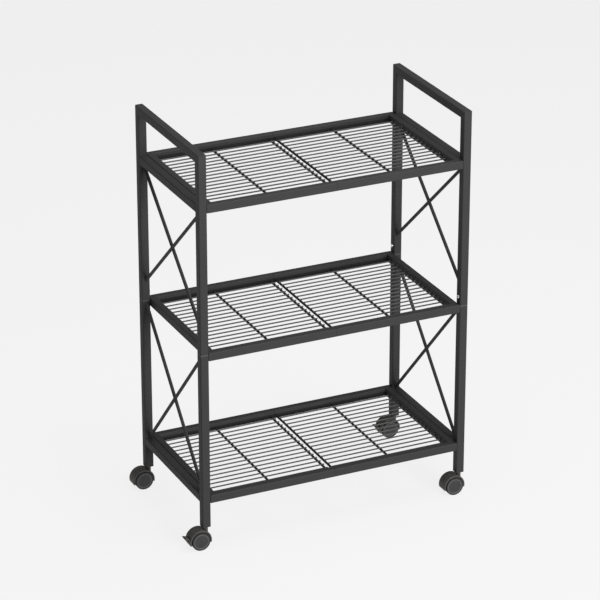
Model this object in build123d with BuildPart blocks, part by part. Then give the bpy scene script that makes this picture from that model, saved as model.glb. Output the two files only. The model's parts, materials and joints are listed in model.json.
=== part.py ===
from build123d import *
import os
from math import atan2, cos, degrees, radians, sin

# Rolling pantry cart, millimetres, +Z up.
# X runs along the shelves, Y from the front (-Y) to the back (+Y).
# The origin is on the floor, in the middle of the whole object's footprint.

# ---------------------------------------------------------------- driving dimensions
# Whole cart
cart_length = 600.0          # over the outer faces of the posts
cart_depth = 320.0           # over the front and back faces of the posts
frame_height = 809.5         # from the lower end of a post to the top of a handle
handle_drop = 105.0          # from the top of a handle down to the top shelf
shelf_clear_height = 299.0   # free height between one shelf and the next

# Square tube of the posts, handles and crossbars
tube = 18.0
tube_wall = 1.5
tube_round = 2.5

# Rectangular tube of the shelf frames
rail_width = 15.0
rail_height = 18.0
rail_wall = 1.2
rail_round = 2.0
butt_gap = 0.5               # hairline between the two halves of a shelf

# Wire grille
wire_diameter = 3.0
wire_count = 16              # in each half of a shelf
wire_drop = 8.5              # from the top of a rail down to the top of a wire
cross_rod_diameter = 5.0
middle_rod_offset = 6.5      # from the middle of the shelf to the rod beside it
wire_overhang = 2.5          # of a wire past the middle rod

# Brace rods
brace_diameter = 7.0
brace_inset = 1.5            # of the rods from the middle of a post, towards the shelves
brace_end_gap = 1.5          # of a half rod from the middle of the rod that it is welded to
upper_brace_foot = 47.0      # height of the upper cross above the joint between the posts
lower_brace_head = 11.0      # the lower cross stays this far below that joint
brace_head_drop = 4.0        # the upper cross starts this far below the crossbar

# Joint between the upper and the lower posts
tab_thickness = 2.0
tab_drop = 3.5               # from the top of the middle shelf to the middle of a tab
sleeve_length = 90.0
sleeve_wall = 1.2
slip_fit = 0.1               # per side, sleeve in tube

# Sleeves that join the two halves of a shelf
splice_length = 80.0
splice_screw_offset = 25.0

# Screws of the sleeves
screw_diameter = 4.0
screw_length = 9.0
screw_head_diameter = 7.5
screw_head_height = 2.2
screw_socket = 2.5
joint_screw_rise = 15.0      # of a joint screw above the middle shelf
hole_clearance = 0.2         # per side, round a screw or bolt

# Bolts that hold the top and bottom shelves to the crossbars
bolt_diameter = 6.0
bolt_length = 26.0
bolt_head_diameter = 10.0
bolt_head_height = 3.0
bolt_socket = 4.0
bolt_gap_number = 5          # the bolt sits in this gap of the grille, from the middle
nut_diameter = 9.0
nut_length = 11.0
nut_collar_diameter = 12.0
nut_collar_length = 3.0

# Casters
wheel_radius = 20.0
caster_width = 30.0          # over both wheels
caster_trail = 15.0          # from the swivel axis back to the wheel axis
hood_gap = 1.0               # between a wheel and its hood
hood_wall = 3.0
hood_width = 27.0
hood_front_angle = -13.0
hood_back_angle = 196.0
hood_round = 1.2
neck_clearance = 3.5         # between the hood and the post
collar_height = 1.6
swivel_gap = 0.3
boss_diameter = 10.4
boss_clearance = 0.5         # per side, between the swivel boss and a wheel
boss_depth = 3.0             # the boss ends this far above the wheel axis
web_thickness = 4.0
axle_diameter = 5.0
axle_boss_radius = 5.0
axle_fit = 0.07              # per side, axle in wheel
axle_cover = 2.0             # thickness of wheel past the end of the axle
hub_radius = 7.0
tyre_thickness = 4.0
tyre_round = 1.0
disc_thickness = 2.6
disc_recess = 0.6
disc_rim_width = 2.6
swivel_pin_diameter = 6.0
swivel_fit = 0.05            # per side, pin in boss
swivel_pin_end_gap = 1.0
stem_diameter = 8.0
stem_length = 24.0
stem_fit = 0.1
socket_length = 28.0

# Brake levers, on two of the casters
lever_pivot_x = -12.0        # from the wheel axis
lever_pivot_z = 3.0
lever_pin_diameter = 3.0
lever_fit = 0.05
lever_arm_thickness = 2.4
lever_arm_height = 3.6
lever_arm_overlap = 1.0      # of the arms into the tab
lever_web_gap = 0.3
lever_tab_angle = 165.0      # direction of the tab, seen from the wheel axis
lever_tab_width = 16.0
lever_tab_height = 3.0
lever_tab_length = 9.5
lever_hood_gap = 1.0
lever_slot_angles = (156.0, 182.0)
lever_slot_gap = 0.4

# ---------------------------------------------------------------- derived sizes
hood_radius = wheel_radius + hood_gap + hood_wall
hood_inner_radius = hood_radius - hood_wall
caster_height = wheel_radius + hood_radius + neck_clearance

# The tab of a brake lever, seen from the wheel axis: X to the right and Z up.
lever_pivot = Vector(lever_pivot_x, lever_pivot_z)
lever_root = Vector(hood_radius + lever_hood_gap, 0).rotate(Axis.Z, lever_tab_angle)
lever_line = (lever_root - lever_pivot).normalized()
lever_tip = lever_root + lever_line * (lever_tab_length - lever_tab_height / 2)
lever_reach = lever_tab_height / 2 - lever_tip.X

post_inset = tube / 2
half_length = cart_length / 2
half_depth = cart_depth / 2
stem_x = half_length - post_inset
stem_y = half_depth - post_inset

# The casters trail to -X, so the footprint reaches further that way than the posts do.
reach_left = stem_x + caster_trail + lever_reach
reach_right = max(half_length, stem_x - caster_trail + hood_radius)
middle_x = (reach_left - reach_right) / 2

top_of_cart = caster_height + frame_height
shelf_step = shelf_clear_height + rail_height
top_shelf_z = top_of_cart - handle_drop
middle_shelf_z = top_shelf_z - shelf_step
bottom_shelf_z = middle_shelf_z - shelf_step
shelf_heights = {"top": top_shelf_z, "middle": middle_shelf_z, "bottom": bottom_shelf_z}
joint_z = middle_shelf_z - tab_drop

tube_inside = tube - 2 * tube_wall
inner_round = tube_round - tube_wall
sleeve_size = tube_inside - 2 * slip_fit
shelf_half_length = half_length - tube
rail_inside_width = rail_width - 2 * rail_wall
rail_inside_height = rail_height - 2 * rail_wall
grille_half_depth = half_depth - rail_width
grille_end_x = shelf_half_length - rail_width
wire_pitch = 2 * grille_half_depth / (wire_count + 1)
bolt_y = bolt_gap_number * wire_pitch
side_rod_x = (middle_rod_offset + grille_end_x) / 2
wheel_gap = boss_diameter + 2 * boss_clearance

SIDES = {"left": -1, "right": 1}
ENDS = {"front": -1, "back": 1}
BRAKED = (("front", "left"), ("back", "right"))


def save(piece, name):
    """Label a finished piece and write it as a node of its own."""
    piece.label = name
    export_step(piece, f"parts/{name}.step")


def group(name, pieces):
    """Several separate solids of one kind, in one node."""
    solids = [solid for piece in pieces for solid in piece.solids()]
    save(Compound(solids), name)


def tube_profile(width, height, wall, corner):
    """Hollow rectangle with rounded corners, for use inside a sketch."""
    RectangleRounded(width, height, corner)
    RectangleRounded(width - 2 * wall, height - 2 * wall, corner - wall, mode=Mode.SUBTRACT)


def drill(place, direction, diameter, depth):
    """Round hole from a point into the part that is being built."""
    from_place = (Align.CENTER, Align.CENTER, Align.MIN)
    with Locations(Plane(origin=place, z_dir=direction)):
        Cylinder(diameter / 2, depth, align=from_place, mode=Mode.SUBTRACT)


def inward_face_x(side):
    """X of the post face that looks at the other end of the cart."""
    return middle_x + side * shelf_half_length


# ---------------------------------------------------------------- side frames
def upper_post(side, end):
    x = middle_x + side * stem_x
    y = end * stem_y
    foot = joint_z + tab_thickness / 2
    with BuildPart() as post:
        with BuildSketch(Plane(origin=(x, y, foot))):
            tube_profile(tube, tube, tube_wall, tube_round)
        extrude(amount=top_of_cart - foot)
        split(bisect_by=Plane(origin=(x, end * half_depth, top_of_cart), z_dir=(0, -end, 1)), keep=Keep.BOTTOM)
        screw_place = (inward_face_x(side), y, middle_shelf_z + joint_screw_rise)
        drill(screw_place, (side, 0, 0), screw_diameter + 2 * hole_clearance, tube / 2)
    return post.part


def lower_post(side, end):
    head = joint_z - tab_thickness / 2
    with BuildPart() as post:
        with BuildSketch(Plane(origin=(middle_x + side * stem_x, end * stem_y, caster_height))):
            tube_profile(tube, tube, tube_wall, tube_round)
        extrude(amount=head - caster_height)
    return post.part


def handle_bar(side):
    """Top bar of a side frame, mitred into both posts."""
    x = middle_x + side * stem_x
    with BuildPart() as bar:
        with BuildSketch(Plane(origin=(x, 0, top_of_cart - tube / 2), z_dir=(0, 1, 0))):
            tube_profile(tube, tube, tube_wall, tube_round)
        extrude(amount=half_depth, both=True)
        for end in ENDS.values():
            split(bisect_by=Plane(origin=(x, end * half_depth, top_of_cart), z_dir=(0, -end, 1)), keep=Keep.TOP)
    return bar.part


def crossbar(side, top):
    """Bar between the two posts, level with a shelf, drilled for the shelf nuts."""
    with BuildPart() as bar:
        with BuildSketch(Plane(origin=(middle_x + side * stem_x, 0, top - tube / 2), z_dir=(0, 1, 0))):
            tube_profile(tube, tube, tube_wall, tube_round)
        extrude(amount=half_depth - tube, both=True)
        for end in ENDS.values():
            place = (inward_face_x(side), end * bolt_y, top - rail_height / 2)
            drill(place, (side, 0, 0), nut_diameter + 2 * slip_fit, tube_wall)
    return bar.part


def brace_rod(start, finish, floor, ceiling):
    """Round rod across a side frame, cut flush against the posts and the crossbar."""
    line = (finish - start).normalized()
    with BuildPart() as rod:
        with BuildSketch(Plane(origin=start - line * tube, z_dir=line)):
            Circle(brace_diameter / 2)
        extrude(amount=(finish - start).length + 2 * tube)
        with BuildSketch(Plane(origin=(start.X, 0, floor))):
            Rectangle(tube, 2 * (half_depth - tube))
        extrude(amount=ceiling - floor, mode=Mode.INTERSECT)
    return rod.part


def brace_halves(falling, rising, crossing, line):
    """Cut a rod in two where another one runs through it."""
    with BuildPart() as halves:
        add(falling)
        add(rising, mode=Mode.SUBTRACT)
        drill(crossing - line * brace_end_gap, line, 2 * brace_diameter, 2 * brace_end_gap)
    return halves.part


def build_braces(side_name, side, level, low, high, floor, ceiling):
    """A cross of two rods in one plane: the rising one is whole, the falling one comes in halves."""
    x = middle_x + side * (stem_x - brace_inset)
    reach = half_depth - tube
    rising = brace_rod(Vector(x, -reach, low), Vector(x, reach, high), floor, ceiling)
    falling = brace_rod(Vector(x, reach, low), Vector(x, -reach, high), floor, ceiling)
    crossing = Vector(x, 0, (low + high) / 2)
    line = Vector(0, -2 * reach, high - low).normalized()
    save(rising, f"{level}_brace_rising_{side_name}")
    group(f"{level}_brace_falling_{side_name}", [brace_halves(falling, rising, crossing, line)])


def build_side_frames():
    for side_name, side in SIDES.items():
        for end_name, end in ENDS.items():
            save(upper_post(side, end), f"upper_post_{end_name}_{side_name}")
            save(lower_post(side, end), f"lower_post_{end_name}_{side_name}")
        save(handle_bar(side), f"handle_bar_{side_name}")
        save(crossbar(side, top_shelf_z), f"upper_crossbar_{side_name}")
        save(crossbar(side, bottom_shelf_z), f"lower_crossbar_{side_name}")
        ceiling = top_shelf_z - tube
        low = joint_z + upper_brace_foot
        build_braces(side_name, side, "upper", low, ceiling - brace_head_drop, joint_z, ceiling)
        low, high = bottom_shelf_z, joint_z - lower_brace_head
        build_braces(side_name, side, "lower", low, high, low, joint_z)


# ---------------------------------------------------------------- shelves
def end_rail(side, top, drilled):
    """Short rail of half a shelf, mitred at both ends."""
    x = middle_x + side * (shelf_half_length - rail_width / 2)
    outer_x = middle_x + side * shelf_half_length
    with BuildPart() as rail:
        with BuildSketch(Plane(origin=(x, 0, top - rail_height / 2), x_dir=(1, 0, 0), z_dir=(0, 1, 0))):
            Rectangle(rail_width, rail_height)
            fillet(vertices(), rail_round)
            Rectangle(rail_inside_width, rail_inside_height, mode=Mode.SUBTRACT)
        extrude(amount=half_depth, both=True)
        for end in ENDS.values():
            corner = Plane(origin=(outer_x, end * half_depth, top), z_dir=(-side, end, 0))
            split(bisect_by=corner, keep=Keep.BOTTOM)
        if drilled:
            for end in ENDS.values():
                place = (outer_x, end * bolt_y, top - rail_height / 2)
                drill(place, (-side, 0, 0), bolt_diameter + 2 * hole_clearance, rail_width)
    return rail.part


def long_rail(side, end, top):
    """Front or back rail of half a shelf, from the middle of the cart to the mitred corner."""
    y = end * (half_depth - rail_width / 2)
    start_x = middle_x + side * butt_gap / 2
    outer_x = middle_x + side * shelf_half_length
    screw_x = middle_x + side * splice_screw_offset
    with BuildPart() as rail:
        with BuildSketch(Plane(origin=(start_x, y, top - rail_height / 2), x_dir=(0, 1, 0), z_dir=(side, 0, 0))):
            Rectangle(rail_width, rail_height)
            fillet(vertices(), rail_round)
            Rectangle(rail_inside_width, rail_inside_height, mode=Mode.SUBTRACT)
        extrude(amount=shelf_half_length - butt_gap / 2)
        corner = Plane(origin=(outer_x, end * half_depth, top), z_dir=(-side, end, 0))
        split(bisect_by=corner, keep=Keep.TOP)
        drill((screw_x, y, top - rail_height), (0, 0, 1), screw_diameter + 2 * hole_clearance, rail_wall)
    return rail.part


def grille_wires(side, top):
    """Parallel wires of half a shelf, from the middle rod to the end rail."""
    start = middle_rod_offset - wire_overhang
    z = top - wire_drop - wire_diameter / 2
    with BuildPart() as wires:
        with BuildSketch(Plane(origin=(middle_x + side * start, 0, z), x_dir=(0, 1, 0), z_dir=(side, 0, 0))):
            with GridLocations(wire_pitch, 0, wire_count, 1):
                Circle(wire_diameter / 2)
        extrude(amount=grille_end_x - start)
    return wires.part


def grille_rods(side, top):
    """Two cross rods under the wires of half a shelf, from rail to rail."""
    z = top - wire_drop - wire_diameter - cross_rod_diameter / 2
    with BuildPart() as rods:
        with BuildSketch(Plane(origin=(middle_x, 0, z), x_dir=(1, 0, 0), z_dir=(0, 1, 0))):
            with Locations((side * middle_rod_offset, 0), (side * side_rod_x, 0)):
                Circle(cross_rod_diameter / 2)
        extrude(amount=grille_half_depth, both=True)
    return rods.part


def shelf_splice(end, top):
    """Sleeve inside a long rail that joins the two halves of a shelf."""
    width = rail_inside_width - 2 * slip_fit
    height = rail_inside_height - 2 * slip_fit
    floor = top - rail_height + rail_wall
    place = (middle_x, end * (half_depth - rail_width / 2), floor + height / 2)
    with BuildPart() as splice:
        with BuildSketch(Plane(origin=place, x_dir=(0, 1, 0), z_dir=(1, 0, 0))):
            Rectangle(width, height)
            Rectangle(width - 2 * sleeve_wall, height - 2 * sleeve_wall, mode=Mode.SUBTRACT)
        extrude(amount=splice_length / 2, both=True)
        for side in SIDES.values():
            hole = (middle_x + side * splice_screw_offset, place[1], floor)
            drill(hole, (0, 0, 1), screw_diameter, sleeve_wall)
    return splice.part


def corner_tab(side, end):
    """Plate of the middle shelf, held between the upper and the lower post."""
    place = (middle_x + side * stem_x, end * stem_y, joint_z - tab_thickness / 2)
    with BuildPart() as tab:
        with BuildSketch(Plane(origin=place)):
            tube_profile(tube, tube, tube_wall, tube_round)
        extrude(amount=tab_thickness)
    return tab.part


def build_shelves():
    for name, top in shelf_heights.items():
        for side_name, side in SIDES.items():
            rails = [end_rail(side, top, drilled=name != "middle")]
            rails += [long_rail(side, end, top) for end in ENDS.values()]
            group(f"{name}_shelf_frame_{side_name}", rails)
            group(f"{name}_shelf_grille_{side_name}", [grille_wires(side, top), grille_rods(side, top)])
    group("shelf_splices", [shelf_splice(end, top) for top in shelf_heights.values() for end in ENDS.values()])
    group("corner_tabs", [corner_tab(side, end) for side in SIDES.values() for end in ENDS.values()])


# ---------------------------------------------------------------- sleeves and fasteners
def post_sleeve(side, end):
    """Square sleeve inside the joint of two posts, against the wall that the screw goes through."""
    place = (middle_x + side * (stem_x - slip_fit), end * stem_y, joint_z - sleeve_length / 2)
    with BuildPart() as sleeve:
        with BuildSketch(Plane(origin=place)):
            tube_profile(sleeve_size, sleeve_size, sleeve_wall, inner_round + sleeve_wall)
        extrude(amount=sleeve_length)
        hole = (inward_face_x(side), place[1], middle_shelf_z + joint_screw_rise)
        drill(hole, (side, 0, 0), screw_diameter, tube / 2)
    return sleeve.part


def headed_screw(place, direction, diameter, length, head_diameter, head_height, socket):
    """Screw or bolt whose head sits on the face at place, and whose shank points along direction."""
    direction = Vector(*direction)
    with BuildPart() as screw:
        with BuildSketch(Plane(origin=place, z_dir=direction)):
            Circle(diameter / 2)
        extrude(amount=length)
        with BuildSketch(Plane(origin=place, z_dir=-direction)):
            Circle(head_diameter / 2)
        extrude(amount=head_height)
        top = screw.faces().sort_by(Axis(place, -direction))[-1]
        fillet(top.edges(), head_height / 3)
        with BuildSketch(Plane(origin=Vector(*place) - direction * head_height, z_dir=direction)):
            RegularPolygon(socket / 2, 6, major_radius=False)
        extrude(amount=head_height * 2 / 3, mode=Mode.SUBTRACT)
    return screw.part


def small_screw(place, direction):
    return headed_screw(
        place, direction, screw_diameter, screw_length, screw_head_diameter, screw_head_height, screw_socket
    )


def shelf_bolt(side, end, top):
    place = (middle_x + side * grille_end_x, end * bolt_y, top - rail_height / 2)
    direction = (side, 0, 0)
    return headed_screw(
        place, direction, bolt_diameter, bolt_length, bolt_head_diameter, bolt_head_height, bolt_socket
    )


def shelf_nut(side, end, top):
    """Rivet nut in the crossbar, with its collar behind the wall of the tube."""
    place = Vector(inward_face_x(side), end * bolt_y, top - rail_height / 2)
    direction = Vector(side, 0, 0)
    with BuildPart() as nut:
        with BuildSketch(Plane(origin=place, z_dir=direction)):
            Circle(nut_diameter / 2)
        extrude(amount=nut_length)
        with BuildSketch(Plane(origin=place + direction * tube_wall, z_dir=direction)):
            Circle(nut_collar_diameter / 2)
        extrude(amount=nut_collar_length)
        drill(place, direction, bolt_diameter, nut_length)
    return nut.part


def build_fasteners():
    corners = [(side, end) for side in SIDES.values() for end in ENDS.values()]
    group("post_sleeves", [post_sleeve(side, end) for side, end in corners])
    screws = []
    for side, end in corners:
        place = (inward_face_x(side), end * stem_y, middle_shelf_z + joint_screw_rise)
        screws.append(small_screw(place, (side, 0, 0)))
        for top in shelf_heights.values():
            x = middle_x + side * splice_screw_offset
            y = end * (half_depth - rail_width / 2)
            screws.append(small_screw((x, y, top - rail_height), (0, 0, 1)))
    group("frame_screws", screws)
    bolted = [(side, end, top) for side, end in corners for top in (top_shelf_z, bottom_shelf_z)]
    group("shelf_bolts", [shelf_bolt(*place) for place in bolted])
    group("shelf_nuts", [shelf_nut(*place) for place in bolted])


# ---------------------------------------------------------------- casters
def wheel_plane(side, end):
    """Upright plane through the wheels' axis, with X to the right and Z up."""
    x = middle_x + side * stem_x - caster_trail
    return Plane(origin=(x, end * stem_y, wheel_radius), x_dir=(1, 0, 0), z_dir=(0, -1, 0))


def on_circle(radius, angle):
    return (radius * cos(radians(angle)), radius * sin(radians(angle)))


def ring_sector(inner, outer, first, last):
    """Flat face between two radii and two angles."""
    with BuildSketch() as sector:
        with BuildLine():
            CenterArc((0, 0), inner, first, last - first)
            CenterArc((0, 0), outer, first, last - first)
            for angle in (first, last):
                Line(on_circle(inner, angle), on_circle(outer, angle))
        make_face()
    return sector.sketch


def caster_socket(side, end):
    """Square plug in the foot of a post, threaded for the stem."""
    with BuildPart() as socket:
        with BuildSketch(Plane(origin=(middle_x + side * stem_x, end * stem_y, caster_height))):
            RectangleRounded(tube_inside, tube_inside, inner_round + slip_fit)
            Circle(stem_diameter / 2 + stem_fit, mode=Mode.SUBTRACT)
        extrude(amount=socket_length)
    return socket.part


def caster_stem(side, end):
    """Stem in the socket, the collar under the post and the swivel pin in the housing."""
    x = middle_x + side * stem_x
    y = end * stem_y
    boss_bottom = wheel_radius + boss_depth
    with BuildPart() as stem:
        with BuildSketch(Plane(origin=(x, y, caster_height - collar_height))):
            Circle(boss_diameter / 2)
        extrude(amount=collar_height)
        with BuildSketch(Plane(origin=(x, y, caster_height))):
            Circle(stem_diameter / 2)
        extrude(amount=stem_length)
        with BuildSketch(Plane(origin=(x, y, boss_bottom + hood_wall + swivel_pin_end_gap))):
            Circle(swivel_pin_diameter / 2)
        extrude(until=Until.NEXT)
    return stem.part


def caster_housing(side, end, braked):
    """Hood over both wheels, the web between them, and the bosses of the axle and the swivel."""
    upright = wheel_plane(side, end)
    stem_place = (middle_x + side * stem_x, end * stem_y)
    boss_top = caster_height - collar_height - swivel_gap
    boss_bottom = wheel_radius + boss_depth
    hood_face = ring_sector(hood_inner_radius, hood_radius, hood_front_angle, hood_back_angle)
    slot_face = ring_sector(hood_inner_radius - hood_wall, hood_radius + hood_wall, *lever_slot_angles)
    with BuildPart() as housing:
        with BuildSketch(upright):
            add(hood_face)
        extrude(amount=hood_width / 2, both=True)
        rims = housing.edges().filter_by(GeomType.CIRCLE).sort_by(SortBy.RADIUS)[-2:]
        fillet(rims, hood_round)
        with BuildSketch(upright):
            Circle(hood_inner_radius + hood_wall / 2)
            with Locations((0, -hood_radius - axle_boss_radius)):
                Rectangle(2 * hood_radius, 2 * hood_radius, mode=Mode.SUBTRACT)
        extrude(amount=web_thickness / 2, both=True)
        with BuildSketch(upright):
            Circle(axle_boss_radius)
        extrude(amount=boss_diameter / 2, both=True)
        with BuildSketch(Plane(origin=(*stem_place, boss_bottom))):
            Circle(boss_diameter / 2)
        extrude(amount=boss_top - boss_bottom)
        pin_hole = swivel_pin_diameter + 2 * swivel_fit
        drill((*stem_place, boss_top), (0, 0, -1), pin_hole, boss_top - boss_bottom - hood_wall)
        with BuildSketch(upright):
            Circle(axle_diameter / 2)
        extrude(amount=boss_diameter, both=True, mode=Mode.SUBTRACT)
        if braked:
            slot_half_width = lever_arm_reach() + lever_slot_gap
            with BuildSketch(upright):
                add(slot_face)
            extrude(amount=slot_half_width, both=True, mode=Mode.SUBTRACT)
            with BuildSketch(upright):
                with Locations((lever_pivot_x, lever_pivot_z)):
                    Circle(lever_pin_diameter / 2 + lever_fit)
            extrude(amount=web_thickness, both=True, mode=Mode.SUBTRACT)
    return housing.part


def caster_axle(side, end):
    half_axle = caster_width / 2 - axle_cover - axle_fit
    with BuildPart() as axle:
        with BuildSketch(wheel_plane(side, end)):
            Circle(axle_diameter / 2)
        extrude(amount=half_axle, both=True)
    return axle.part


def caster_wheel(side, end, face):
    """One of the two wheels, open towards the web and closed by a disc on the outside."""
    x = middle_x + side * stem_x - caster_trail
    inner = wheel_gap / 2
    outer = caster_width / 2
    bore = axle_diameter / 2 + axle_fit
    rim_inside = wheel_radius - tyre_round - disc_rim_width
    outline = (
        (0, outer - disc_recess),
        (rim_inside, outer - disc_recess),
        (rim_inside + disc_recess, outer),
        (wheel_radius, outer),
        (wheel_radius, inner),
        (wheel_radius - tyre_thickness, inner),
        (wheel_radius - tyre_thickness, outer - disc_thickness),
        (hub_radius, outer - disc_thickness),
        (hub_radius, inner),
        (bore, inner),
        (bore, outer - axle_cover),
        (0, outer - axle_cover),
    )
    with BuildPart() as wheel:
        with BuildSketch(Plane(origin=(x, end * stem_y, wheel_radius))):
            with BuildLine():
                Polyline(*[(radius, face * width) for radius, width in outline], close=True)
            make_face()
            fillet(vertices().group_by(Axis.X)[-1], tyre_round)
        revolve(axis=Axis((x, end * stem_y, wheel_radius), (0, 1, 0)))
    return wheel.part


def lever_arm_reach():
    """Half the width of the lever over its two arms."""
    return web_thickness / 2 + lever_web_gap + lever_arm_thickness


def brake_lever(side, end):
    """Fork over the web on its own pin, with a wide tab outside the hood."""
    upright = wheel_plane(side, end)
    turn = degrees(atan2(lever_line.Y, lever_line.X))
    arm_length = (lever_root - lever_pivot).length + lever_arm_overlap
    arm_middle = lever_pivot + lever_line * (arm_length / 2)
    tab_middle = (lever_root + lever_tip) * 0.5
    with BuildPart() as lever:
        for face in ENDS.values():
            offset = face * (web_thickness / 2 + lever_web_gap)
            with BuildSketch(upright.offset(offset)):
                with Locations((arm_middle.X, arm_middle.Y)):
                    Rectangle(arm_length, lever_arm_height, rotation=turn)
                with Locations((lever_pivot.X, lever_pivot.Y)):
                    Circle(lever_pin_diameter)
            extrude(amount=face * lever_arm_thickness)
        with BuildSketch(upright):
            with Locations((lever_pivot.X, lever_pivot.Y)):
                Circle(lever_pin_diameter / 2)
        extrude(amount=lever_arm_reach(), both=True)
        with BuildSketch(upright):
            with Locations((tab_middle.X, tab_middle.Y)):
                Rectangle((lever_tip - lever_root).length, lever_tab_height, rotation=turn)
            with Locations((lever_tip.X, lever_tip.Y)):
                Circle(lever_tab_height / 2)
        extrude(amount=lever_tab_width / 2, both=True)
    return lever.part


def build_casters():
    corners = [(side, end) for side in SIDES.values() for end in ENDS.values()]
    group("caster_sockets", [caster_socket(side, end) for side, end in corners])
    group("caster_stems", [caster_stem(side, end) for side, end in corners])
    for side_name, side in SIDES.items():
        for end_name, end in ENDS.items():
            place = f"{end_name}_{side_name}"
            braked = (end_name, side_name) in BRAKED
            save(caster_housing(side, end, braked), f"caster_housing_{place}")
            save(caster_axle(side, end), f"caster_axle_{place}")
            save(caster_wheel(side, end, -1), f"outer_wheel_{place}" if end < 0 else f"inner_wheel_{place}")
            save(caster_wheel(side, end, 1), f"inner_wheel_{place}" if end < 0 else f"outer_wheel_{place}")
            if braked:
                save(brake_lever(side, end), f"brake_lever_{place}")


os.makedirs("parts", exist_ok=True)
build_side_frames()
build_shelves()
build_fasteners()
build_casters()
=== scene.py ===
# %% [markdown]
# # A rolling pantry cart
# The cart is a frame of square steel tube with three wire shelves on four twin-wheel casters. Everything with
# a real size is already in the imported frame. This lesson gives each piece its finish, adds the small things
# that a workshop leaves behind, such as weld beads, and sets up a plain studio.

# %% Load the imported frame
import json
import math

import bmesh
import bpy
from mathutils import Matrix, Vector


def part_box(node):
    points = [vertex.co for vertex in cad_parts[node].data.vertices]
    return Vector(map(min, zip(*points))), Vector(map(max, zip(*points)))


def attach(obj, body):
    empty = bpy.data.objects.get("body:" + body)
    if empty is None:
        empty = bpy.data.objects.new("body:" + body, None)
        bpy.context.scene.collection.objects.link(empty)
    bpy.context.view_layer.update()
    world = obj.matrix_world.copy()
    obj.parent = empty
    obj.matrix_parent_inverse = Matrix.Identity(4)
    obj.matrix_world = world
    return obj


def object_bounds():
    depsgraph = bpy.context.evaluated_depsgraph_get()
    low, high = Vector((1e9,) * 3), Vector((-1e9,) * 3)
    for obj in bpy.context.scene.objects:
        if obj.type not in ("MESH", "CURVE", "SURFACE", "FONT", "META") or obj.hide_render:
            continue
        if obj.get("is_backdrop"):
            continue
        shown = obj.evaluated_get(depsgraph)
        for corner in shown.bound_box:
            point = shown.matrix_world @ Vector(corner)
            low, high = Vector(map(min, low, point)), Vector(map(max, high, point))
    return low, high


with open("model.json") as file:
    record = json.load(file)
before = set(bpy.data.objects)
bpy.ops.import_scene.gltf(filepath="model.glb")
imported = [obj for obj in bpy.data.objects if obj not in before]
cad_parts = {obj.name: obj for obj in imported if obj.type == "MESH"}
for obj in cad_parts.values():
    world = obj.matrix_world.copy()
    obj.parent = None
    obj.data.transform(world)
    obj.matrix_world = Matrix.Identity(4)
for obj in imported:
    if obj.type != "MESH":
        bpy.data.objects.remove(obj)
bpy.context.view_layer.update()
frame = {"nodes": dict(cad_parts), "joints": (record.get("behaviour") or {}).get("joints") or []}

nodes = frame["nodes"]
joint_at = {joint["name"]: Vector(joint["pos_m"]) for joint in frame["joints"]}
MM = 0.001

# %% [markdown]
# ## Shader arithmetic
# A finish is mostly arithmetic on patterns: mix two greys by a noise, darken below a height. Wiring Math
# nodes by hand hides that, so a small class wraps a socket and lets Python's operators make the nodes.

# %% A socket that behaves like a number
class Pattern:
    """A value that changes over a surface."""

    def __init__(self, finish, socket):
        self.finish = finish
        self.socket = socket

    def math(self, operation, first, second=0.0):
        return self.finish.node("ShaderNodeMath", {"operation": operation}, {0: first, 1: second})

    def __add__(self, other):
        return self.math("ADD", self, other)

    def __radd__(self, other):
        return self.math("ADD", other, self)

    def __sub__(self, other):
        return self.math("SUBTRACT", self, other)

    def __rsub__(self, other):
        return self.math("SUBTRACT", other, self)

    def __mul__(self, other):
        return self.math("MULTIPLY", self, other)

    def __rmul__(self, other):
        return self.math("MULTIPLY", other, self)

    def __mod__(self, other):
        return self.math("FLOORED_MODULO", self, other)

    def __abs__(self):
        return self.math("ABSOLUTE", self)

    def smooth_step(self, low, high):
        """0 below low, 1 above high, and a soft edge between."""
        sockets = {"Value": self, "From Min": low, "From Max": high}
        return self.finish.node("ShaderNodeMapRange", {"interpolation_type": "SMOOTHSTEP"}, sockets)


# %% [markdown]
# A `Finish` is one material. Its `node` method makes any other node: the settings come first because they
# change which sockets a node has, and then values or links go into the sockets.

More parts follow.
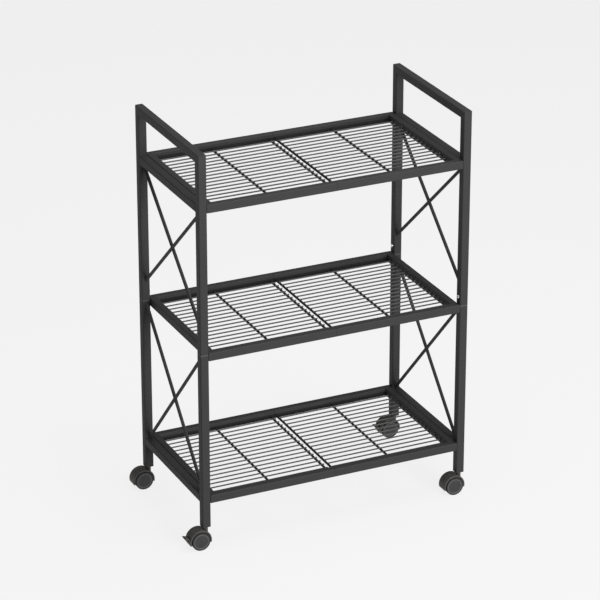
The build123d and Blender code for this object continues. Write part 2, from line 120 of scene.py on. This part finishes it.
# %% One material and the nodes that feed it
class Finish:
    """A material that is made of patterns."""

    def __init__(self, name, metallic=0.0, specular=0.15):
        self.material = bpy.data.materials.new(name)
        self.material.use_nodes = True
        self.tree = self.material.node_tree
        self.surface = self.tree.nodes["Principled BSDF"]
        self.surface.inputs["Metallic"].default_value = metallic
        self.surface.inputs["Specular IOR Level"].default_value = specular

    def node(self, kind, settings, sockets, output=0):
        """A new node whose sockets hold values or are linked to patterns."""
        made = self.tree.nodes.new(kind)
        for name, value in settings.items():
            setattr(made, name, value)
        for key, value in sockets.items():
            if isinstance(value, Pattern):
                self.tree.links.new(value.socket, made.inputs[key])
            else:
                made.inputs[key].default_value = value
        return Pattern(self, made.outputs[output])

    def place(self):
        """Position on the cart, in metres."""
        return self.node("ShaderNodeTexCoord", {}, {}, "Object")

    def coordinate(self, axis):
        """One of the three coordinates of the place."""
        return self.node("ShaderNodeSeparateXYZ", {}, {0: self.place()}, axis)

    def noise(self, grain, detail=3.0, roughness=0.5, stretch=(1, 1, 1)):
        """Random pattern from 0 to 1 whose blobs are about one grain across."""
        where = self.node(
            "ShaderNodeMapping", {"vector_type": "POINT"}, {"Vector": self.place(), "Scale": stretch}
        )
        sockets = {"Vector": where, "Scale": 1 / grain, "Detail": detail, "Roughness": roughness}
        return self.node("ShaderNodeTexNoise", {}, sockets, "Fac")

    def mix(self, amount, first, second):
        """Colour that goes from first to second as the amount goes from 0 to 1."""
        sockets = {0: amount, 6: first, 7: second}
        return self.node("ShaderNodeMix", {"data_type": "RGBA"}, sockets, 2)

    def feed(self, socket, value):
        """Give a pattern or a plain value to a socket of the surface."""
        if isinstance(value, Pattern):
            self.tree.links.new(value.socket, self.surface.inputs[socket])
        else:
            self.surface.inputs[socket].default_value = value

    def bump(self, height, depth):
        """Small relief: the height runs from 0 to 1 over the depth."""
        sockets = {"Strength": 1.0, "Distance": depth, "Height": height}
        self.feed("Normal", self.node("ShaderNodeBump", {}, sockets))


def grey(value, warmth=0.0):
    """Linear grey, a little warmer or cooler."""
    return (value * (1 + warmth), value, value * (1 - warmth), 1.0)


# %% [markdown]
# ## Powder coat
# The tubes wear a matt black powder coat. Powder melts into a skin with a very fine orange peel, about a
# millimetre across, and a dust of finer grains on top. The colour hardly changes, but the gloss does: hands
# and cloths polish some areas more than others. A scanned texture could show all this, but it would have to
# be unwrapped over every tube and would blur close up. Noise in the material has neither fault, so one noise
# makes the peel, one the grain, and a broad one moves the roughness.

# %% Matt black powder coat
# Almost black, painted where shade falls: on the cross rods of the grilles and inside the shelf rails.
PAINTED_SHADE_BLACK = grey(0.006)
GLOSS_CHANGE = 0.12


def powder_coat(name, dark, light, roughness=0.6, painted_shade=None):
    """Coat between two greys; where the optional pattern is 1, painted shade makes it almost black."""
    finish = Finish(name)
    peel = finish.noise(1.1 * MM, detail=2.0)
    grain = finish.noise(0.28 * MM, detail=2.0)
    cloud = finish.noise(45 * MM, detail=4.0)
    speckle = grain.smooth_step(0.42, 0.68)
    shade = 0.55 * cloud + 0.45 * speckle
    colour = finish.mix(shade, grey(dark), grey(light))
    # Painted shade: where the pattern is 1 the coat is painted almost black.
    if painted_shade:
        colour = finish.mix(painted_shade(finish), colour, PAINTED_SHADE_BLACK)
    finish.feed("Base Color", colour)
    finish.feed("Roughness", roughness - GLOSS_CHANGE / 2 + GLOSS_CHANGE * cloud + 0.05 * speckle)
    finish.bump(0.7 * peel + 0.3 * grain, 0.06 * MM)
    return finish


frame_coat = powder_coat("matt_black_powder_coat", dark=0.018, light=0.027)
# A lighter grey than the frame coat, so that the edges of the corner tabs show as a thin light line.
seam_coat = powder_coat("coat_on_plate_edges", dark=0.045, light=0.07)
weld_coat = powder_coat("coat_on_weld_beads", dark=0.017, light=0.026, roughness=0.62)
print("powder coats:", frame_coat.material.name, seam_coat.material.name, weld_coat.material.name)

# %% [markdown]
# The grilles are coated together with the shelf they are welded to. Round wire catches the light from above
# along its whole length, so the wires get painted light: a greyer colour than the tubes, and the coat is a
# little glossier. The thicker cross rods lie under the wires, in their shade, and get painted shade that
# makes them almost black. Wires and rods are one piece, and giving them two materials would mean picking
# their faces. The height below the rim of the shelf tells them apart without that, and the shelves repeat at
# equal steps, so one modulo serves all three.

# %% Heights of the wires, the rods and the rails
CROSS_ROD_THICKNESS = 5 * MM

shelf_rim = {level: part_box(f"{level}_shelf_frame_left")[1].z for level in ("top", "middle", "bottom")}
shelf_step = shelf_rim["top"] - shelf_rim["middle"]
grille_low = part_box("top_shelf_grille_left")[0]
grille_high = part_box("top_shelf_grille_right")[1]
rod_depth = (shelf_rim["top"] - grille_low.z) - CROSS_ROD_THICKNESS
wire_depth = shelf_rim["top"] - grille_high.z
rail_height = shelf_rim["top"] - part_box("top_shelf_frame_left")[0].z
print("wires begin", round(wire_depth / MM, 2), "mm below the rim")
print("cross rods begin", round(rod_depth / MM, 2), "mm below the rim")


def depth_below_rim(finish):
    """Distance down from the rim of the shelf that a place belongs to."""
    return (shelf_rim["top"] - finish.coordinate("Z")) % shelf_step


# %% Coat of the grilles: painted light on the wires, painted shade on the rods
ROD_FADE = 0.3 * MM


def grille_coat():
    finish = Finish("black_coat_on_wire")
    # Painted shade: the cross rods, deeper below the rim than the wires, are painted almost black.
    rod = depth_below_rim(finish).smooth_step(rod_depth - ROD_FADE, rod_depth + ROD_FADE)
    grain = finish.noise(0.3 * MM, detail=2.0)
    cloud = finish.noise(30 * MM, detail=3.0)
    # Painted light: the wires are painted a lighter grey than the tubes, for the light they catch from above.
    wire_colour_painted_lighter = finish.mix(0.5 * grain + 0.5 * cloud, grey(0.045), grey(0.065))
    finish.feed("Base Color", finish.mix(rod, wire_colour_painted_lighter, PAINTED_SHADE_BLACK))
    finish.feed("Roughness", 0.5 + 0.1 * cloud + 0.12 * rod)
    finish.bump(grain, 0.03 * MM)
    return finish


wire_coat = grille_coat()
print("grilles wear", wire_coat.material.name)

# %% [markdown]
# The rails of a shelf get painted shade, as black as the cross rods, where they look inwards below the
# wires, because hardly any light gets there. The same height finds the lower part of a rail. The ends of the
# wires mark where the inner faces are, so a place past them is on another face and keeps the plain coat, as
# the underside does.

# %% Coat of the shelf frames, with painted shade inside the rails
INNER_FACE_ENDS = (0.3 * MM, 0.6 * MM)
FADE_ABOVE_WIRES = 2 * MM
UNDERSIDE_BEGINS, UNDERSIDE_FULL = 0.6 * MM, 0.2 * MM


def painted_shade_inside_rails(finish):
    """Painted shade mask: 1 on the faces of a shelf frame that look inwards below the wires."""
    middle = (grille_low.x + grille_high.x) / 2
    past_end = abs(finish.coordinate("X") - middle) - (grille_high.x - grille_low.x) / 2
    past_side = abs(finish.coordinate("Y")) - grille_high.y
    depth = depth_below_rim(finish)
    outside = past_end.smooth_step(*INNER_FACE_ENDS) + past_side.smooth_step(*INNER_FACE_ENDS)
    below_wires = depth.smooth_step(wire_depth - FADE_ABOVE_WIRES, wire_depth)
    underside = depth.smooth_step(rail_height - UNDERSIDE_BEGINS, rail_height - UNDERSIDE_FULL)
    return (below_wires - outside - underside).smooth_step(0, 1)


# The shelf frames get painted shade, almost black, on the inward faces of their rails below the wires.
shelf_coat = powder_coat("coat_on_shelf_frames", dark=0.018, light=0.027, painted_shade=painted_shade_inside_rails)
print("shelf frames wear", shelf_coat.material.name)

# %% [markdown]
# ## Moulded plastic
# Housings, levers and wheels are moulded in black nylon. A spark-eroded mould leaves a fine, even grain, and
# the plastic of the housings is a touch warmer than the paint. Scuffs are broad and faint. They are a noise
# that is squeezed in height, because things rub along a caster more than up and down it.

# %% Black nylon of the housings and levers
# Pale grey of a painted highlight on the caps of the wheels.
PAINTED_HIGHLIGHT_GREY = grey(0.075)


def moulded_plastic(name, dark, light, roughness, warmth, painted_highlight=None):
    """Grained plastic between two greys; where the optional pattern is 1, a painted highlight makes it pale.
    """
    finish = Finish(name)
    grain = finish.noise(0.35 * MM, detail=1.0)
    scuff = finish.noise(6 * MM, detail=5.0, roughness=0.65, stretch=(1, 1, 2.5)).smooth_step(0.45, 0.75)
    colour = finish.mix(0.4 * grain + 0.6 * scuff, grey(dark, warmth), grey(light, warmth))
    # Painted highlight: where the pattern is 1 the colour goes to a pale grey.
    if painted_highlight:
        colour = finish.mix(painted_highlight(finish), colour, PAINTED_HIGHLIGHT_GREY)
    finish.feed("Base Color", colour)
    finish.feed("Roughness", roughness + 0.14 * scuff)
    finish.bump(grain, 0.035 * MM)
    return finish


housing_plastic = moulded_plastic("black_nylon", dark=0.034, light=0.056, roughness=0.46, warmth=0.05)
plug_plastic = moulded_plastic("black_plug_plastic", dark=0.012, light=0.02, roughness=0.5, warmth=0.0)
print("plastics:", housing_plastic.material.name, plug_plastic.material.name)

# %% [markdown]
# A wheel has two looks in one moulding: a grey face and a tread that the floor keeps dark and dull. The
# distance from the axle tells them apart. Left and right wheels have their axles at different places, so
# each side gets its own copy of the finish, centred with a Mapping node. The cap of a wheel gets a painted
# highlight: a paler ring on the step near its edge, which is found by the same distance.

# %% Wheels: dark tread, greyer face
tread_radius = 18.6 * MM
tread_begins, tread_full = tread_radius - 0.4 * MM, tread_radius + 0.2 * MM
cap_step_radius = 14.5 * MM
cap_step_fade = 0.3 * MM


def axle_distance(finish, side):
    """Distance from the line of the axles on one side of the cart."""
    axle = joint_at[f"outer_wheel_spin_front_{side}"]
    centred = finish.node(
        "ShaderNodeMapping", {"vector_type": "POINT"},
        {"Vector": finish.place(), "Location": (-axle.x, 0, -axle.z), "Scale": (1, 0, 1)},
    )
    return finish.node("ShaderNodeVectorMath", {"operation": "LENGTH"}, {0: centred}, "Value")


def cap_plastic(side):
    # The step near the cap's edge gets a painted highlight.
    def painted_highlight_ring(finish):
        distance = axle_distance(finish, side)
        return distance.smooth_step(cap_step_radius - cap_step_fade, cap_step_radius + cap_step_fade)

    return moulded_plastic(
        f"cap_nylon_{side}", dark=0.022, light=0.032, roughness=0.5, warmth=0.0, painted_highlight=painted_highlight_ring
    )


def wheel_plastic(side):
    finish = Finish(f"wheel_nylon_{side}")
    tread = axle_distance(finish, side).smooth_step(tread_begins, tread_full)
    grain = finish.noise(0.4 * MM, detail=2.0)
    dust = finish.noise(5 * MM, detail=4.0).smooth_step(0.5, 0.8)
    face_colour = finish.mix(grain, grey(0.026), grey(0.036))
    tread_colour = finish.mix(dust, grey(0.008), grey(0.016, 0.05))
    finish.feed("Base Color", finish.mix(tread, face_colour, tread_colour))
    finish.feed("Roughness", 0.46 + 0.2 * tread + 0.08 * dust)
    finish.bump(grain, 0.04 * MM)
    return finish


wheel_finish = {side: wheel_plastic(side) for side in ("left", "right")}
cap_finish = {side: cap_plastic(side) for side in ("left", "right")}
for side in wheel_finish:
    print(side, "wheel finish centred on x =", round(joint_at[f"outer_wheel_spin_front_{side}"].x, 4))

# %% [markdown]
# ## Bare and plated steel
# The screws are zinc plated and bright, which is why they show as small light dots on the posts. Axles and
# stems are duller. Metal with one even roughness looks like a mirror, so a faint cloud moves it.

# %% Steel
def plated_steel(name, shade, roughness):
    finish = Finish(name, metallic=1.0)
    cloud = finish.noise(2.5 * MM, detail=4.0)
    fine = finish.noise(0.2 * MM, detail=2.0)
    finish.feed("Base Color", finish.mix(cloud, grey(shade * 0.85), grey(shade, -0.01)))
    finish.feed("Roughness", roughness - 0.08 + 0.16 * cloud)
    finish.bump(fine, 0.01 * MM)
    return finish


bright_zinc = plated_steel("bright_zinc", shade=0.82, roughness=0.3)
dull_steel = plated_steel("dull_steel", shade=0.5, roughness=0.42)
black_oxide = plated_steel("black_oxide", shade=0.06, roughness=0.5)
print("steels:", bright_zinc.material.name, dull_steel.material.name, black_oxide.material.name)

# %% [markdown]
# ## Dress the frame
# Every node of the frame takes one of the finishes. The name of a node says what it is, so a short list of
# words does for all sixty, and the first word that matches wins. Whatever is left is powder-coated tube.

# %% Give every node its finish
FINISH_OF = (
    ("grille", wire_coat),
    ("shelf_frame", shelf_coat),
    ("corner_tabs", seam_coat),
    ("frame_screws", bright_zinc),
    ("shelf_bolts", black_oxide),
    ("shelf_nuts", dull_steel),
    ("post_sleeves", dull_steel),
    ("shelf_splices", dull_steel),
    ("caster_stems", dull_steel),
    ("caster_axle", dull_steel),
    ("caster_sockets", plug_plastic),
    ("caster_housing", housing_plastic),
    ("brake_lever", housing_plastic),
)


def finish_for(name):
    for word, finish in FINISH_OF:
        if word in name:
            return finish
    if "wheel" in name:
        return wheel_finish["left" if name.endswith("left") else "right"]
    return frame_coat


for name, node in nodes.items():
    node.data.materials.clear()
    node.data.materials.append(finish_for(name).material)
print(len(nodes), "nodes dressed")


# %% [markdown]
# ## Making a new piece
# New pieces are made in bmesh, where every corner is already at its place on the cart. One helper turns a
# finished bmesh into an object, points its faces outwards and lets it ride on a body.

# %% From bmesh to a riding piece
def finish_piece(shape, name, finish, body):
    bmesh.ops.remove_doubles(shape, verts=shape.verts, dist=0.001 * MM)
    bmesh.ops.recalc_face_normals(shape, faces=shape.faces)
    mesh = bpy.data.meshes.new(name)
    shape.to_mesh(mesh)
    shape.free()
    mesh.materials.append(finish.material)
    mesh.shade_smooth()
    piece = bpy.data.objects.new(name, mesh)
    bpy.context.scene.collection.objects.link(piece)
    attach(piece, body)
    return piece


# %% [markdown]
# ## Weld beads
# A bead between two tubes is a row of overlapping puddles of metal, like coins pushed over. A row of balls
# would do, but it would need many hidden faces. Here a thin cylinder is cut into short rings, and each ring
# swells and shrinks along the way. Most of the bead sinks into the two tubes, and the rest fills the corner.

# %% The corners that were added last
def new_corners(shape):
    """Corners that no earlier call has returned, so that only the newest part of a shape is moved."""
    fresh = [corner for corner in shape.verts if not corner.tag]
    for corner in fresh:
        corner.tag = True
    return fresh


# %% A rippled bead along a line
PUDDLE_LENGTH = 1.6 * MM
RINGS_PER_PUDDLE = 4
NECK, RIPPLE = 0.82, 0.18        # radius between two puddles, and how much a puddle adds to it
TIP, TAPER = 0.45, 6             # radius at the ends of a bead, and how fast it grows from there


def add_bead(shape, start, end, radius):
    line = end - start
    puddles = max(2, round(line.length / PUDDLE_LENGTH))
    made = bmesh.ops.create_cone(
        shape, cap_ends=True, segments=10, radius1=radius, radius2=radius, depth=line.length
    )["verts"]
    sides = {edge for corner in made for edge in corner.link_edges if edge.calc_length() > 3 * radius}
    bmesh.ops.subdivide_edges(shape, edges=list(sides), cuts=puddles * RINGS_PER_PUDDLE - 1)
    corners = new_corners(shape)
    for corner in corners:
        along = corner.co.z / line.length + 0.5
        swell = NECK + RIPPLE * abs(math.sin(math.pi * along * puddles))
        swell *= min(1.0, TIP + TAPER * min(along, 1 - along))
        corner.co.x *= swell
        corner.co.y *= swell
    turn = line.to_track_quat("Z", "Y").to_matrix().to_4x4()
    bmesh.ops.transform(shape, matrix=Matrix.Translation((start + end) / 2) @ turn, verts=corners)


# %% [markdown]
# The handle bars and the crossbars are welded into the inner corners of the posts. The beads that can be seen
# are in the corner under the bar, across the width of the tube. They follow the bars' own sizes, which are
# read from the frame.

# %% Beads under the handles and the crossbars
bead_inset = 2 * MM
bead_radius = 1.5 * MM
bead_shift = 0.3 * MM


def corner_beads(shape, bar, reach_y):
    """A bead at each end of a bar, its middle a little out of the corner between bar and post."""
    low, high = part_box(bar)
    z = low.z - bead_shift
    for end in (-1, 1):
        y = end * (reach_y - bead_shift)
        start = Vector((low.x + bead_inset, y, z))
        add_bead(shape, start, Vector((high.x - bead_inset, y, z)), bead_radius)


post_inner_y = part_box("upper_crossbar_left")[1].y
for side in ("left", "right"):
    beads = bmesh.new()
    for bar in (f"handle_bar_{side}", f"upper_crossbar_{side}", f"lower_crossbar_{side}"):
        corner_beads(beads, bar, post_inner_y)
    made = finish_piece(beads, f"corner_welds_{side}", weld_coat, "cart_frame")
    print(made.name, len(made.data.polygons), "faces")

# %% [markdown]
# A brace rod ends against the post in a bead that runs right round it. A rod that meets the post at a slant
# leaves an oval, so a small circle is spun round the rod's end and the ring is stretched to the slant. Where
# two rods cross, one is cut and welded to the other, and a squashed ball of metal fills the corners.

# %% Rings and balls of weld
ring_bead = 1.1 * MM
RING_FLATNESS = 0.9


def add_nugget(shape, centre, size, roundness=1):
    """A squashed ball of weld metal. A roundness of 1 has 20 faces, and each step has 4 times as many."""
    matrix = Matrix.Translation(centre) @ Matrix.Diagonal((*size, 1))
    bmesh.ops.create_icosphere(shape, subdivisions=roundness, radius=1.0, matrix=matrix)
    new_corners(shape)


def add_weld_ring(shape, centre, rod_radius, stretch):
    made = bmesh.ops.create_circle(
        shape, segments=8, radius=ring_bead, matrix=Matrix.Translation((rod_radius, 0, 0))
    )["verts"]
    rim = list({edge for corner in made for edge in corner.link_edges})
    bmesh.ops.spin(
        shape, geom=made + rim, cent=(0, 0, 0), axis=(0, 1, 0), dvec=(0, 0, 0), angle=math.tau, steps=24,
        use_merge=True,
    )
    place = Matrix.Translation(centre) @ Matrix.Diagonal((1, RING_FLATNESS, stretch, 1))
    bmesh.ops.transform(shape, matrix=place, verts=new_corners(shape))


# %% Welds of the braces
SAME_PLACE = 0.05 * MM
WHOLE_FOOT = 1.6                 # in half feet: an oval that is less high than this has been cut by a tube
crossing_swell = 0.5 * MM
CROSSING_SPREAD = 1.6


def foot_height(brace, y, half_foot):
    """Height of the middle of the oval where a rod meets a post, even if a tube cuts part of it off."""
    low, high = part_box(brace.name)
    at_end = [corner.co.z for corner in brace.data.vertices if abs(corner.co.y - y) < SAME_PLACE]
    if max(at_end) - min(at_end) > WHOLE_FOOT * half_foot:
        return (min(at_end) + max(at_end)) / 2
    if min(at_end) > (low.z + high.z) / 2:
        return min(at_end) + half_foot
    return max(at_end) - half_foot


def weld_brace(shape, brace):
    """A ring at each end of a rod. Returns the middle of the rod and its radius."""
    low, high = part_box(brace.name)
    middle_x = (low.x + high.x) / 2
    rod_radius = (high.x - low.x) / 2
    stretch = math.hypot(1, (high.z - low.z) / (high.y - low.y))
    feet = [foot_height(brace, y, rod_radius * stretch) for y in (low.y, high.y)]
    for y, z in zip((low.y, high.y), feet):
        add_weld_ring(shape, Vector((middle_x, y, z)), rod_radius, stretch)
    return Vector((middle_x, 0, sum(feet) / 2)), rod_radius


for side in ("left", "right"):
    rings = bmesh.new()
    for level in ("upper", "lower"):
        weld_brace(rings, nodes[f"{level}_brace_rising_{side}"])
        crossing, rod_radius = weld_brace(rings, nodes[f"{level}_brace_falling_{side}"])
        spread = CROSSING_SPREAD * rod_radius
        add_nugget(rings, crossing, (rod_radius + crossing_swell, spread, spread), roundness=3)
    made = finish_piece(rings, f"brace_welds_{side}", weld_coat, "cart_frame")
    print(made.name, len(made.data.polygons), "faces")

# %% [markdown]
# The wires are spot welded on top of the cross rods and into the end rails. Each spot is a flat nugget that
# the coat has rounded. The rows of corners along the tops of the wires say where the wires are, so the spots
# stay on them if their spacing changes. A wire has four such rows, less than a millimetre apart, and a
# squashed ball on each of them makes one wider spot together. There are hundreds of spots, so a ball has
# only twenty faces.

# %% Nuggets between the wires and the rods
wire_radius = 1.5 * MM
gap_in_the_middle = 4 * MM       # from the inner end of a half grille to the middle of the shelf
first_rod = 6.5 * MM             # from the middle of the shelf to the first cross rod
SPOT_SIZE = (2.3 * MM, 2.0 * MM, 0.9 * MM)
TIP_SIZE = (1.0 * MM, 2.1 * MM, 2.0 * MM)
tip_shift = 0.2 * MM


def rows_on_wires(level):
    """Y of each row of corners along the tops of the wires, read at the end rail: four rows on each wire."""
    grille = nodes[f"{level}_shelf_grille_left"]
    low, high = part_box(grille.name)
    at_tip = [corner.co.y for corner in grille.data.vertices
              if abs(corner.co.x - low.x) < SAME_PLACE and corner.co.z > high.z - SAME_PLACE]
    return sorted({round(y, 5) for y in at_tip})


for level in shelf_rim:
    for side, sign in (("left", -1), ("right", 1)):
        low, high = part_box(f"{level}_shelf_grille_{side}")
        wire_z = high.z - wire_radius
        inner_x, outer_x = (high.x, low.x) if sign < 0 else (low.x, high.x)
        near_rod = inner_x - sign * gap_in_the_middle + sign * first_rod
        nuggets = bmesh.new()
        for y in rows_on_wires(level):
            for x in (near_rod, (near_rod + outer_x) / 2):
                add_nugget(nuggets, Vector((x, y, wire_z - wire_radius)), SPOT_SIZE)
            add_nugget(nuggets, Vector((outer_x - sign * tip_shift, y, wire_z)), TIP_SIZE)
        made = finish_piece(nuggets, f"{level}_grille_welds_{side}", weld_coat, "cart_frame")
        print(made.name, len(made.data.polygons), "faces")

# %% [markdown]
# ## Casters
# Each wheel is closed by a cap that is pressed into its face. The cap is a shallow dome with a thin step
# near its edge, and that step is the pale ring that a caster shows. The cap could be a flat disc with a ring
# painted on, but the step also catches the light, and the cap's finish adds a painted highlight on it as
# well. A round piece is a profile spun about the axle.

# %% Domed caps of the wheels
# Distance from the axle and height of each corner, from the middle of the dome over its edge to the back.
CAP_PROFILE_MM = ((0, 0.52), (5, 0.5), (9, 0.42), (12.2, 0.3), (13.4, 0.22), (13.7, 0.06), (14.4, 0.06),
                  (14.7, 0.34), (15.6, 0.34), (15.9, 0.1), (15.9, -0.3), (0, -0.3))
cap_recess = 0.6 * MM
casters = [(end, side) for end in ("front", "back") for side in ("left", "right")]


def add_cap(shape, centre, face_y, outward):
    """A lathe-turned cap on the plane y = face_y that looks along outward."""
    corners = [
        shape.verts.new((centre.x + radius * MM, face_y + outward * height * MM, centre.z))
        for radius, height in CAP_PROFILE_MM
    ]
    profile = [shape.edges.new(pair) for pair in zip(corners, corners[1:])]
    bmesh.ops.spin(
        shape, geom=corners + profile, cent=centre, axis=(0, 1, 0), dvec=(0, 0, 0), angle=math.tau, steps=64,
        use_merge=True,
    )


for end, side in casters:
    for face in ("outer", "inner"):
        wheel = f"{face}_wheel_{end}_{side}"
        low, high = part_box(wheel)
        centre = joint_at[f"{face}_wheel_spin_{end}_{side}"]
        outward = 1 if (low.y + high.y) / 2 > centre.y else -1
        face_y = (high.y if outward > 0 else low.y) - outward * cap_recess
        cap = bmesh.new()
        add_cap(cap, centre, face_y, outward)
        finish_piece(cap, f"cap_of_{wheel}", cap_finish[side], wheel)
print(2 * len(casters), "caps, each", 2 * max(radius for radius, height in CAP_PROFILE_MM), "mm across")

# %% [markdown]
# The two halves of the mould meet in the middle of the housing and leave a fine ridge over the hood. Two
# more ridges stiffen it near its edges. They are far too fine for the hood's own shape, but they catch the
# light, so each is a small section spun part of the way round the axle.

# %% Ridges over the hoods
hood_radius = 24 * MM
ridge_root = 0.2 * MM
RIDGE_START, RIDGE_END = math.radians(28), math.radians(150)
MOULD_RIDGE = {"half_width": 0.45 * MM, "height": 0.18 * MM}
STIFFENER = {"half_width": 0.6 * MM, "height": 0.22 * MM}
stiffener_place = 11.2 * MM


def add_ridge(shape, centre, y, half_width, height):
    """A low ridge on the hood, y to the side of its middle."""
    root, crest = hood_radius - ridge_root, hood_radius + height
    outline = ((root, -half_width), (crest, -half_width / 2), (crest, half_width / 2), (root, half_width))
    section = [
        shape.verts.new((centre.x + radius, centre.y + y + across, centre.z))
        for radius, across in outline
    ]
    face = shape.faces.new(section)
    bmesh.ops.rotate(shape, verts=section, cent=centre, matrix=Matrix.Rotation(-RIDGE_START, 3, "Y"))
    bmesh.ops.spin(
        shape, geom=[face], cent=centre, axis=(0, -1, 0), dvec=(0, 0, 0), angle=RIDGE_END - RIDGE_START,
        steps=30,
    )


for end, side in casters:
    ridges = bmesh.new()
    centre = joint_at[f"outer_wheel_spin_{end}_{side}"]
    add_ridge(ridges, centre, 0.0, **MOULD_RIDGE)
    for y in (-stiffener_place, stiffener_place):
        add_ridge(ridges, centre, y, **STIFFENER)
    caster = f"{end}_{side}"
    finish_piece(ridges, f"hood_ridges_{caster}", housing_plastic, f"caster_{caster}")
print("ridges on", len(casters), "hoods")

# %% [markdown]
# The tab of a brake lever is pressed with a shoe, so its top is ribbed. A rib is a thin rod half sunk into
# the tab. The tab starts at the edge of the hood and rises a little towards its tip, and the ribs are set
# along that line.

# %% Ribs on the brake levers
LEVERS = (("front", "left"), ("back", "right"))
TAB_ROOT_RADIUS_MM = 25
TAB_ROOT_ANGLE = math.radians(165)
TAB_ANGLE = math.radians(164.06)
RIB_PLACES = (2.4 * MM, 4.2 * MM, 6.0 * MM)
rib_radius = 0.55 * MM
rib_length = 13 * MM
rib_sink = 0.15 * MM
tab_half_height = 1.5 * MM


def in_wheel_plane(angle, length=1):
    """Vector in the plane of a wheel. Its angle is 0 along x and grows upwards."""
    return Vector((length * math.cos(angle), 0, length * math.sin(angle)))


for end, side in LEVERS:
    ribs = bmesh.new()
    axle = joint_at[f"outer_wheel_spin_{end}_{side}"]
    root = axle + in_wheel_plane(TAB_ROOT_ANGLE, TAB_ROOT_RADIUS_MM) * MM
    along = in_wheel_plane(TAB_ANGLE)
    up = Vector((along.z, 0, -along.x))
    for place in RIB_PLACES:
        middle = root + along * place + up * (tab_half_height - rib_sink)
        matrix = Matrix.Translation(middle) @ Matrix.Rotation(math.pi / 2, 4, "X")
        bmesh.ops.create_cone(
            ribs, cap_ends=True, segments=12, radius1=rib_radius, radius2=rib_radius, depth=rib_length,
            matrix=matrix,
        )
    lever = f"{end}_{side}"
    finish_piece(ribs, f"lever_ribs_{lever}", housing_plastic, f"brake_lever_{lever}")
print(len(RIB_PLACES), "ribs on each lever")

# %% [markdown]
# ## Studio
# A pale floor that runs out of view, an even sky, a broad soft lamp in front and one above. A floor that is
# lit by the lamps alone gets patches, so this one is dark in itself and glows evenly. The fronts of the tubes
# are the brightest faces, their tops a little darker and their left sides darkest, so the front lamp stands
# to the right.

# %% Floor
FLOOR_GLOW = 0.825
FLOOR_HALF_SIZE = 20.0

floor_finish = Finish("pale_floor", specular=0.0)
floor_finish.feed("Base Color", grey(0.06))
floor_finish.feed("Roughness", 1.0)
floor_finish.feed("Emission Color", grey(1.0))
floor_finish.feed("Emission Strength", FLOOR_GLOW)
floor_shape = bmesh.new()
bmesh.ops.create_grid(floor_shape, x_segments=1, y_segments=1, size=FLOOR_HALF_SIZE)
floor_mesh = bpy.data.meshes.new("studio_floor")
floor_shape.to_mesh(floor_mesh)
floor_shape.free()
floor_mesh.materials.append(floor_finish.material)
floor = bpy.data.objects.new("studio_floor", floor_mesh)
bpy.context.scene.collection.objects.link(floor)
floor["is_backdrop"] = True
print("the floor is", 2 * FLOOR_HALF_SIZE, "m wide and glows with a strength of", FLOOR_GLOW)

# %% Sky and lamps
world = bpy.data.worlds.new("studio_sky")
world.use_nodes = True
sky = world.node_tree.nodes["Background"]
sky.inputs["Color"].default_value = grey(0.9)
sky.inputs["Strength"].default_value = 0.3
bpy.context.scene.world = world


def soft_lamp(name, place, aim, size, power):
    data = bpy.data.lights.new(name, "AREA")
    data.shape = "RECTANGLE"
    data.size, data.size_y = size
    data.energy = power
    lamp = bpy.data.objects.new(name, data)
    lamp.location = place
    lamp.rotation_euler = (Vector(aim) - Vector(place)).to_track_quat("-Z", "Y").to_euler()
    bpy.context.scene.collection.objects.link(lamp)


soft_lamp("front_lamp", place=(1.0, -4.2, 1.2), aim=(0, 0, 0.45), size=(2.4, 2.0), power=250)
soft_lamp("top_lamp", place=(0.2, -0.4, 3.4), aim=(0, 0, 0.4), size=(2.4, 2.4), power=125)
bpy.context.scene.view_settings.view_transform = "Standard"
print("lamps:", [lamp.name for lamp in bpy.data.lights])

# %% [markdown]
# ## Camera
# The view is from the front left and above. A short lens close by would make the uprights lean together, so
# the camera stands far away with a long lens. Its direction is a compass turn and a downward tilt.

# %% Camera
CAMERA_PLACE = (-2.4744, -5.2949, 2.9995)
DOWNWARD_TILT_DEGREES = 23.66
COMPASS_TURN_DEGREES = -25.16

camera_data = bpy.data.cameras.new("view")
camera_data.sensor_width = 36
camera_data.lens = 185.73
camera_data.clip_end = 60
camera = bpy.data.objects.new("view", camera_data)
camera.location = CAMERA_PLACE
camera.rotation_euler = (math.radians(90 - DOWNWARD_TILT_DEGREES), 0, math.radians(COMPASS_TURN_DEGREES))
bpy.context.scene.collection.objects.link(camera)
bpy.context.scene.camera = camera
print("the lens is", round(camera_data.lens, 2), "mm long, and the camera stands",
      round(camera.location.length, 2), "m from the foot of the cart")

# %% Bounds of the finished model
low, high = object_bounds()
